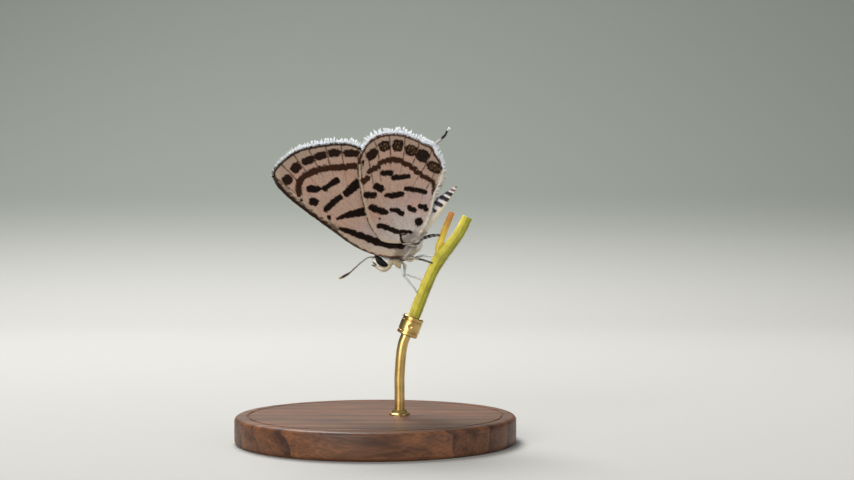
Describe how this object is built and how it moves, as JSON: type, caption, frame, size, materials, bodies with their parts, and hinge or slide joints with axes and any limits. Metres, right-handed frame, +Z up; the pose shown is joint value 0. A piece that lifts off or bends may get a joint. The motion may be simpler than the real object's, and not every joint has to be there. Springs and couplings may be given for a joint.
{
  "type": "butterfly",
  "caption": "Life-size still model of a small tailed butterfly at rest, wings closed over its back, head down on a cut stem held by a plain round display stand.",
  "frame": {"origin": "centre of the stand's base, on the surface it stands on", "axes": "+Z up; -Y towards the insect's left side, the side seen in the picture; the wings lie in the XZ plane with the head towards -X"},
  "size_m": [0.023, 0.023, 0.0257],
  "materials": {
    "wing_scales": "matte scales, pale warm grey with near-black marks",
    "dark_scales": "dark brown scales",
    "body_hair": "soft cream and white hair",
    "abdomen_scales": "pale scales with dark bars",
    "eye": "glossy black",
    "leg_scales": "pale scales, dark bands",
    "green_stem": "satin green plant skin",
    "base_wood": "satin oiled walnut",
    "rod_brass": "satin"
  },
  "bodies": {
    "root": {"head": "body_hair", "eye_left": "eye", "eye_right": "eye", "palp_left": "body_hair", "palp_right": "body_hair", "antenna_left": "dark_scales", "antenna_right": "dark_scales", "thorax": "body_hair", "abdomen": "abdomen_scales", "foreleg_left": "leg_scales", "foreleg_right": "leg_scales", "midleg_left": "leg_scales", "midleg_right": "leg_scales", "hindleg_left": "leg_scales", "hindleg_right": "leg_scales", "forewing_left": "wing_scales", "forewing_right": "wing_scales", "hindwing_left": "wing_scales", "hindwing_right": "wing_scales", "hindwing_tail_left": "dark_scales", "hindwing_tail_right": "dark_scales", "perch_stem": "green_stem", "perch_stalk": "green_stem", "stand_base": "base_wood", "stand_rod": "rod_brass", "stand_sleeve": "rod_brass"}
  },
  "joints": []
}
